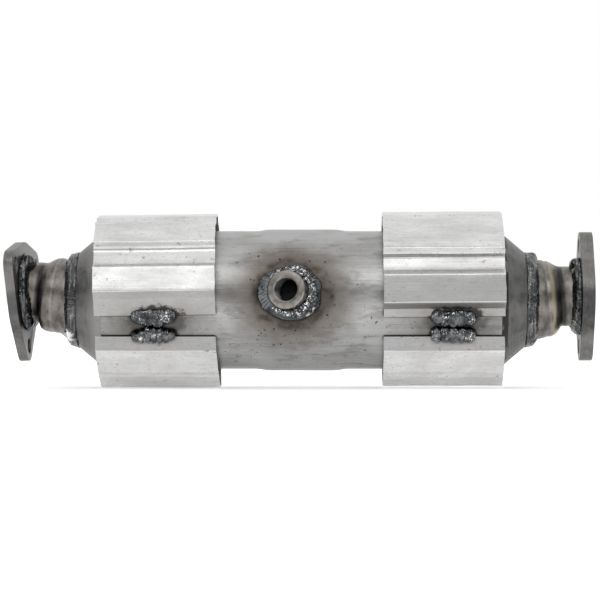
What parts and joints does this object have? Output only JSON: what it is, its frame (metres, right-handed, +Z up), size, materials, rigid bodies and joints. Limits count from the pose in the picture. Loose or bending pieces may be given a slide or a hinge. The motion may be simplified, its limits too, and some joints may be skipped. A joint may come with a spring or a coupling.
{
  "type": "catalytic converter",
  "caption": "Round inline catalytic converter with corrugated heat shields, a sensor boss, welded cones and a flanged pipe at each end.",
  "frame": {"origin": "on the body tube's axis at the middle of its length", "axes": "+X along the tube towards the two-bolt flange, +Z up, sensor boss towards -Y"},
  "size_m": [0.4284, 0.1296, 0.1295],
  "materials": {
    "body_steel": "brushed along the axis, heat tinted round the boss",
    "cone_steel": "spun, dark grey",
    "neck_steel": "heat tinted brown and straw",
    "flange_steel": "dull dark grey with sheared edges",
    "shield_sheet": "satin aluminised sheet",
    "weld_metal": "lumpy, with glints",
    "boss_steel": "turned",
    "ceramic": "matt cordierite ceramic",
    "mat_fibre": "matt fibre mat"
  },
  "bodies": {
    "root": {"body_shell": "body_steel", "boss_weld": "weld_metal", "left_brick": "ceramic", "left_cone": "cone_steel", "left_flange": "flange_steel", "left_flange_weld": "weld_metal", "left_lower_back_tack": "weld_metal", "left_lower_front_tack": "weld_metal", "left_lower_shield": "shield_sheet", "left_mat": "mat_fibre", "left_neck": "neck_steel", "left_neck_weld": "weld_metal", "left_upper_back_tack": "weld_metal", "left_upper_front_tack": "weld_metal", "left_upper_shield": "shield_sheet", "right_brick": "ceramic", "right_cone": "cone_steel", "right_flange": "flange_steel", "right_flange_weld": "weld_metal", "right_lower_back_tack": "weld_metal", "right_lower_front_tack": "weld_metal", "right_lower_shield": "shield_sheet", "right_mat": "mat_fibre", "right_neck": "neck_steel", "right_neck_weld": "weld_metal", "right_upper_back_tack": "weld_metal", "right_upper_front_tack": "weld_metal", "right_upper_shield": "shield_sheet", "sensor_boss": "boss_steel"}
  },
  "joints": []
}
